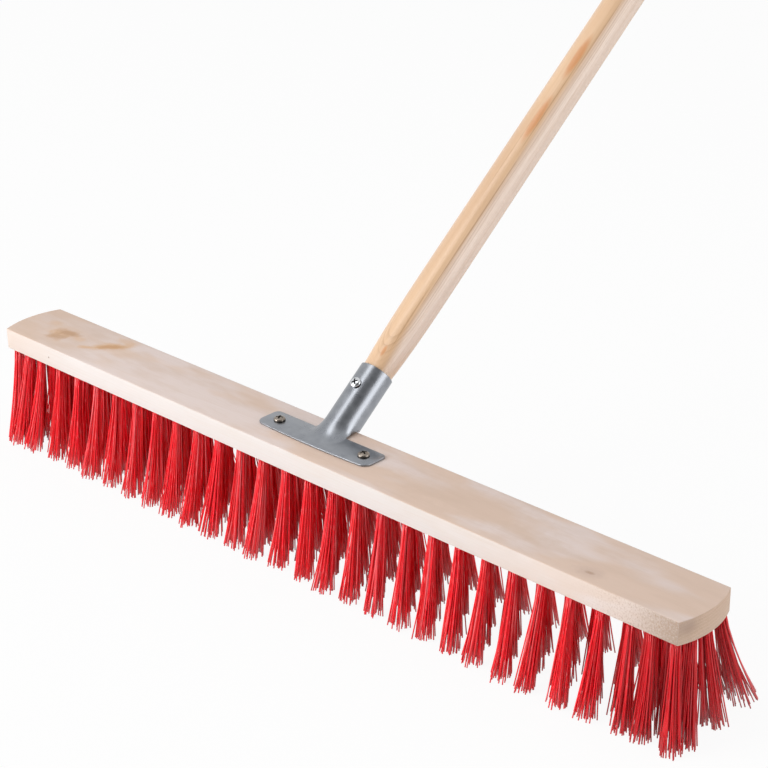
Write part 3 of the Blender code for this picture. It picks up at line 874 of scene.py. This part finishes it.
# %% From points to strands
line = signal(bristle, "GeometryNodeCurvePrimitiveLine", {"Start": (0, 0, 0), "End": (0, 0, 1)})
line = signal(bristle, "GeometryNodeResampleCurve", {"Curve": line, "Count": 6})
strands = signal(bristle, "GeometryNodeInstanceOnPoints", {"Points": kept, "Instance": line})
way = signal(bristle, "GeometryNodeSplineParameter", output="Factor")
buried = given["Buried"] / given["Free Length"]
t = way * (buried + 1.0) - buried
swept = signal(bristle, "GeometryNodeInputPosition") + triple(bristle, 0.0, 0.0, way * -1.0)
swept = swept + read(bristle, "root") + read(bristle, "fall") * t
step_out = read(bristle, "tip") - read(bristle, "root")
for moved_by, curve in ((step_out, "Flare"), (read(bristle, "lean"), "Lean Curve")):
    swept = swept + moved_by * (t * t.function("ABSOLUTE") ** given[curve])
swept = swept + read(bristle, "bow") * ((t - t * t) * 4.0)
laid = signal(bristle, "GeometryNodeSetPosition", {"Geometry": real(strands), "Position": swept})
end_tree(bristle, tube_along(laid, 5, given["Strand Radius"]), given["Filament"])

# %% [markdown]
# ### Filament
#
# The filament is bright red plastic, smooth enough to glint. Every strand has a tone of its
# own, written to the mesh by the tree, so that the bundles don't look like one moulding.
# Some strands, and flecks along the others, are painted pink as painted highlights; the
# flecks are partly scuffs too.
# The last tufts on the right are painted a deeper red, as painted shade.

# %% Bristle material
filament, red, red_shader = new_material("red filament", Roughness=0.34, Specular_IOR_Level=0.46)
tone_of = signal(red, "ShaderNodeAttribute", output="Fac", attribute_name="tone")
here = placed(red)
# Painted highlights: flecks of lighter pink on every strand, partly scuffs too, and whole lighter
# strands.
scuffs_and_glints = noise(here, (900.0, 900.0, 60.0), 2.0)
glint_patches = noise(here, (60.0, 60.0, 18.0), 2.0)
painted_glints = from_to((tone_of * 7.3).function("FRACT"), 0.68, 0.98) * from_to(glint_patches, 0.36, 0.60)
# Painted shade: the last tufts on the right are darkened to a deeper red.
painted_end_shade = from_to(parts_of(here)[0], 0.300, 0.372, 0.0, 0.68, smooth=True)
red_colour = layered(
    mix_colour(tone_of, (0.82, 0.001, 0.006), (0.99, 0.008, 0.025)),
    (from_to(scuffs_and_glints, 0.57, 0.74, 0.0, 0.60), (0.98, 0.24, 0.25)),
    (painted_glints * 0.70, (0.99, 0.29, 0.31)),
    (painted_end_shade, (0.54, 0.002, 0.007)),
)
set_shader(
    red_shader, Base_Color=red_colour, Normal=bump(scuffs_and_glints, 0.12, 0.0002),
    Roughness=from_to(tone_of, 0.0, 1.0, 0.36, 0.14),
)

# %% The tufts, slice by slice
for number, (node_name, tuft_places) in enumerate(slices.items()):
    tuft = point_cloud(f"tufts_{node_name[-2:]}", tuft_places)
    use_tree(tuft, bristle, free_length=UNDERSIDE - 0.0005, seed=17 * number, filament=filament)
    finish_piece(tuft, [node_name], filament, sharp=180.0)

# %% [markdown]
# ## The socket bracket
#
# Plate and socket are one pressing. The outside is lofted: 144 lines run up the tube, and
# round the front of its foot they sweep out over the plate in a hollow curve. The bore, all
# that lies below the pressing, the seam at the back and the screw holes are then cut away.
# The tube's free rim is level over the block and cut square behind it, where the tube hangs
# over the block's back edge. This is the solid's recipe with finer steps and softened edges,
# because steel shows every facet.

# %% Bracket sizes
SHEET = 0.0015
PLATE_LENGTH, PLATE_FRONT, PLATE_BACK, FRONT_BOW = 0.1305, -0.0135, 0.0149, 0.0018
SOCKET_BORE, SOCKET_MOUTH = 0.0280, 0.0608
SOCKET_RADIUS = SOCKET_BORE / 2 + SHEET
NECK_FLARE, NECK_CLIMB, RIM_LIFT, RIM_END = 0.0105, 0.0170, 0.0020, 0.0335
NECK_FULL, NECK_END = math.radians(44), math.radians(90)
SCREW_X, SCREW_Y = PLATE_LENGTH / 2 - 0.015, PLATE_BACK - 0.0126
CLAMP_STATION, MOUTH_CHAMFER, SURFACE_DIP, OVERRUN = 0.0402, 0.00025, 0.00012, 0.002
FRONT_ROUND, BACK_ROUND, BOW_STEPS = 0.0075, 0.0045, 24
SEAM_HALF, SEAM_IN, SEAM_OUT = 0.0004, 0.007, 0.0175
ON_TOP = Matrix.Translation(TOP + Vector((0, 0, SEAT_GAP)))


def plate_outline(steps):
    """Plan of the plate, with a front edge that is slightly bowed."""
    x, front = PLATE_LENGTH / 2, PLATE_FRONT + FRONT_BOW
    r, s, quarter = FRONT_ROUND, BACK_ROUND, math.pi / 2
    points = arc((-x + r, front + r), r, -2 * quarter, -quarter, steps)
    for i in range(1, BOW_STEPS):
        u = 2 * i / BOW_STEPS - 1
        points.append((u * (x - r), front - FRONT_BOW * (1 - u * u)))
    points += arc((x - r, front + r), r, -quarter, 0, steps)
    points += arc((x - s, PLATE_BACK - s), s, 0, quarter, steps)
    return points + arc((-x + s, PLATE_BACK - s), s, quarter, 2 * quarter, steps)


def socket_line(angle, steps):
    """Points up the outside of the socket at one angle round it."""
    foot_z = SHEET - SURFACE_DIP
    reach = SOCKET_RADIUS * math.cos(angle) / SIN_RISE
    centre_y = SOCKET_FOOT.y - TOP.y + foot_z / math.tan(HANDLE_RISE)
    corner = Vector((SOCKET_RADIUS * math.sin(angle), centre_y - reach, foot_z))
    outward = Vector((math.sin(angle), -math.cos(angle) * SIN_RISE, 0)).normalized()
    up = Vector((0, COS_RISE, SIN_RISE))
    fade = min(1.0, max(0.0, (NECK_END - min(angle, 2 * math.pi - angle)) / (NECK_END - NECK_FULL)))
    share = fade * fade * (3 - 2 * fade)
    flare = NECK_FLARE * share
    start = foot_z / SIN_RISE - reach * COS_RISE
    deep = -1.5 * SOCKET_RADIUS / math.tan(HANDLE_RISE)
    sunk = (Vector((0, 0, share)) + up * (1 - share)) * (foot_z + OVERRUN)
    points = [corner + up * (deep - start), corner + outward * flare - sunk]
    for i in range(steps + 1):
        u = i / steps
        points.append(corner + outward * flare * (1 - u) ** 2 + up * NECK_CLIMB * u**2)
    mouth = corner + up * (SOCKET_MOUTH - start)
    axis_point = Vector((0, SOCKET_FOOT.y - TOP.y, 0)) + up * SOCKET_MOUTH
    inwards = (axis_point - mouth).normalized()
    return points + [mouth - up * MOUTH_CHAMFER, mouth + inwards * MOUTH_CHAMFER]


# %% The bracket
ROUND_STEPS, PAST_MOUTH, BELOW_FOOT = 144, SOCKET_MOUTH + OVERRUN, -0.045
bracket = as_object("socket_bracket_pressing", extruded(plate_outline(10), -OVERRUN, SHEET), ON_TOP)
edges = bracket.modifiers.new("rolled edges", "BEVEL")
edges.width, edges.segments, edges.limit_method = 0.0004, 2, "ANGLE"
lines = [socket_line(2 * math.pi * i / ROUND_STEPS, 12) for i in range(ROUND_STEPS)]
outside = loft([list(ring) for ring in zip(*lines)])
bore = turned([
    (SOCKET_BORE / 2, BELOW_FOOT), (SOCKET_BORE / 2, SOCKET_MOUTH - MOUTH_CHAMFER),
    (SOCKET_BORE / 2 + MOUTH_CHAMFER, SOCKET_MOUTH), (SOCKET_BORE / 2 + MOUTH_CHAMFER, PAST_MOUTH),
], ROUND_STEPS)
square_end = Vector((RIM_END, RIM_LIFT)) + Vector((SIN_RISE, -COS_RISE)) * 0.0465
section = [(-0.03, -0.06), (-0.03, 0), (PLATE_BACK, 0), (PLATE_BACK, RIM_LIFT), (RIM_END, RIM_LIFT)]
section += [tuple(square_end), (square_end.x, -0.06)]
below = loft([[(x, y, z) for y, z in section] for x in (-0.1, 0.1)])
seam = [(-SEAM_HALF, SEAM_IN), (SEAM_HALF, SEAM_IN), (SEAM_HALF, SEAM_OUT), (-SEAM_HALF, SEAM_OUT)]
clamp_place = HANDLE_FRAME @ Matrix.Translation((0, 0, CLAMP_STATION))
clamp_place = clamp_place @ Matrix.Rotation(math.pi / 2, 4, "X")
cuts = [("bore", bore, HANDLE_FRAME), ("below", below, ON_TOP)]
cuts.append(("seam", extruded(seam, BELOW_FOOT, PAST_MOUTH), HANDLE_FRAME))
for side in (-1, 1):
    place = ON_TOP @ Matrix.Translation((side * SCREW_X, SCREW_Y, 0))
    cuts.append(("plate hole", pin(0.0024, -0.002, 0.004), place))
cuts.append(("clamp hole", pin(0.0027, 0.007, SOCKET_RADIUS + OVERRUN), clamp_place))
tools = [cut(bracket, "outside", outside, ON_TOP, "UNION")]
tools += [cut(bracket, *one) for one in cuts]

# %% [markdown]
# ### Zinc-plated steel
#
# Plated sheet is blue-grey and satin: flat parts look cloudy, with a faint mottle from the
# bath, and the round socket carries soft stripes of the studio. The rolling of the sheet
# leaves very fine lines, and handling leaves small dull scuffs.

# %% Steel material
plated, zinc, zinc_shader = new_material("zinc-plated sheet", Metallic=1.0, Roughness=0.36)
mottle = noise(placed(zinc), 110.0, 4.0, 0.6)
speck = noise(placed(zinc), 900.0, 2.0, 0.6)
zinc_colour = layered(
    mix_colour(from_to(mottle, 0.35, 0.68), (0.258, 0.271, 0.296), (0.315, 0.330, 0.356)),
    (from_to(speck, 0.58, 0.75, 0.0, 0.35), (0.20, 0.21, 0.23)),
)
set_shader(
    zinc_shader, Base_Color=zinc_colour, Normal=bump(speck, 0.06, 0.0002),
    Roughness=from_to(mottle, 0.3, 0.7, 0.26, 0.36),
)
finish_piece(bracket, ["socket_bracket"], plated, tools=tools)

# %% [markdown]
# ## The screws
#
# Three cross-head wood screws hold the broom together: two through the plate, one through the
# socket's wall. They share one recipe with other sizes, so a tree makes all three: a domed
# head on a short rim, a cross cut by two bars, a shank and a thread wound on it. The tree
# also writes down how deep each point lies under the dome, so that the material can darken
# the cross and the seat with painted shade.

# %% Screw tree
screw, given = geometry_tree("cross-head screw", [
    ("Head Radius", "Float", 0.0052), ("Rim", "Float", 0.0008), ("Dome", "Float", 0.0023),
    ("Shank Radius", "Float", 0.0021), ("Length", "Float", 0.014), ("Cross", "Float", 0.0064),
    ("Slot", "Float", 0.0014), ("Thread Pitch", "Float", 0.0018), ("Metal", "Material", None),
])


def moved(geometry, height, **others):
    """Moves geometry up by a height, and turns or stretches it if asked."""
    upwards = triple(geometry.tree, 0.0, 0.0, height)
    inputs = {"Geometry": geometry, "Translation": upwards, **others}
    return signal(geometry.tree, "GeometryNodeTransform", inputs)


radius, rim, dome = given["Head Radius"], given["Rim"], given["Dome"]
ball = signal(screw, "GeometryNodeMeshUVSphere", {"Segments": 48, "Rings": 24, "Radius": 1.0})
ball = moved(ball, rim, Scale=triple(screw, radius, radius, dome))
coin = cylinder(radius, rim, 48)
whole = solid_of(screw, "UNION", {1: [moved(coin, rim * 0.5), ball]})
below = moved(signal(screw, "GeometryNodeMeshCube", {"Size": (0.04, 0.04, 0.04)}), -0.02)
bar_size = triple(screw, given["Cross"], given["Slot"], dome * 1.3)
bar = signal(screw, "GeometryNodeMeshCube", {"Size": bar_size})
bars = [moved(bar, rim + dome, Rotation=(0, 0, turn)) for turn in (0.0, math.pi / 2)]
head = solid_of(screw, "DIFFERENCE", {0: whole, 1: [below, *bars]})

# %% Shank, thread and painted recess shade of the screw
shank_radius, length = given["Shank Radius"], given["Length"]
shank = cylinder(shank_radius * 0.8, length, 24)
coil = signal(screw, "GeometryNodeCurveSpiral", {
    "Resolution": 20, "Rotations": length * 0.9 / given["Thread Pitch"], "Height": length * 0.9,
    "Start Radius": shank_radius * 0.75, "End Radius": shank_radius * 0.75,
})
thread = tube_along(moved(coil, length * -0.95), 4, shank_radius * 0.2)
joined = signal(screw, "GeometryNodeJoinGeometry", {0: [head, moved(shank, length * -0.5), thread]})
# Painted shade: points deeper under the dome, in the cross and round the seat, are made darker.
RECESS_SHADE_DEPTH = 0.0006
x, y, z = (part / radius for part in parts_of(signal(screw, "GeometryNodeInputPosition")))
inside = 1.0 - (x * x + y * y)
dome_level = inside.step("MAXIMUM", inside, 0.0).function("SQRT") * dome + rim
under = dome_level - z * radius
dirt = under.step("DIVIDE", under, RECESS_SHADE_DEPTH, use_clamp=True)
end_tree(screw, stored(joined, "dirt", dirt, "FLOAT"), given["Metal"])


# %% Screw metals
def screw_metal(name, base, rough):
    """Plated steel with a faint bloom, and painted shade where the tree says."""
    material, tree, shader = new_material(name, Metallic=1.0, Roughness=rough)
    bloom = noise(placed(tree), 700.0)
    dirt = signal(tree, "ShaderNodeAttribute", output="Fac", attribute_name="dirt")
    dull = tuple(value * 0.62 for value in base)
    # Painted shade, near black, where the tree's depth says.
    colour = layered(mix_colour(bloom, base, dull), (dirt * 0.92, (0.012, 0.010, 0.008)))
    uneven = from_to(bloom, 0.3, 0.7, rough - 0.06, rough + 0.10)
    set_shader(shader, Base_Color=colour, Roughness=uneven)
    return material


nickel = screw_metal("dull nickel", (0.33, 0.285, 0.245), 0.30)
bright_zinc = screw_metal("bright zinc", (0.78, 0.80, 0.83), 0.16)


# %% The three screws
def make_screw(node_name, seat, spin, metal, slot_name, **sizes):
    """A screw on its seat, with its cross turned by the spin."""
    blank = as_object(f"{node_name}_detail", bmesh.new())
    use_tree(blank, screw, metal=metal, **sizes)
    place = seat @ Matrix.Rotation(spin, 4, "Z")
    finish_piece(blank, [node_name], metal, sharp=35.0, place=place)


for side, label, spin in ((-1, "left", 0.5), (1, "right", 1.15)):
    seat = ON_TOP @ Matrix.Translation((side * SCREW_X, SCREW_Y, SHEET + SEAT_GAP))
    make_screw(f"plate_screw_{label}", seat, spin, nickel, "plate_screw_metal")
make_screw(
    "clamp_screw", clamp_place @ Matrix.Translation((0, 0, SOCKET_RADIUS + SEAT_GAP)), 0.6,
    bright_zinc, "clamp_screw_metal",
    head_radius=0.00495, rim=0.0007, dome=0.0021, shank_radius=0.0024, length=0.015, cross=0.0060,
)

# %% [markdown]
# ## The handle
#
# The handle is one turned stick, 1.4 m long. Its lower end is tapered to fit the socket, and
# its upper end is rounded for the hand. A lathe's work is a profile spun round, so the mesh
# is one too, with more sides and a softer taper than the solid. The pilot hole for the
# clamping screw is drilled into it from the front.

# %% Handle
HANDLE_END = SOCKET_BORE / 2 - SEAT_GAP
HANDLE_START = (HANDLE_END * COS_RISE + SEAT_GAP) / SIN_RISE
HANDLE_LENGTH, HANDLE_TAPER, HANDLE_DOME, EASING = 1.400, 0.110, 0.012, 0.001
seated = SOCKET_MOUTH + 0.0015
straight_from, dome_from = seated + HANDLE_TAPER, HANDLE_START + HANDLE_LENGTH - HANDLE_DOME
profile = [(0.0004, HANDLE_START), (HANDLE_END - EASING, HANDLE_START)]
profile.append((HANDLE_END, HANDLE_START + EASING))
for i in range(25):
    u = i / 24
    radius = HANDLE_END + (HANDLE_RADIUS - HANDLE_END) * (1 - (1 - u) ** 3)
    profile.append((radius, seated + HANDLE_TAPER * u))
for i in range(1, 12):
    profile.append((HANDLE_RADIUS, straight_from + (dome_from - straight_from) * i / 11))
for i in range(1, 16):
    swing = math.pi / 2 * i / 16
    profile.append((HANDLE_RADIUS * math.cos(swing), dome_from + HANDLE_DOME * math.sin(swing)))
handle = as_object("wooden_handle", turned(profile, 96), HANDLE_FRAME)
tools = [cut(handle, "pilot hole", pin(0.0027, -0.0006, 0.0156), clamp_place)]
finish_piece(handle, ["handle"], handle_wood, tools=tools)

# %% [markdown]
# ## Sizes
#
# The finished broom has to fill the same box as its solids, so both boxes are written down
# side by side.

# %% Boxes
both = {"cad_box": [list(v) for v in cad_box], "visual_box": [list(v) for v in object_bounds()]}
for name, (low, high) in both.items():
    print(name, [round(b - a, 4) for a, b in zip(low, high)])
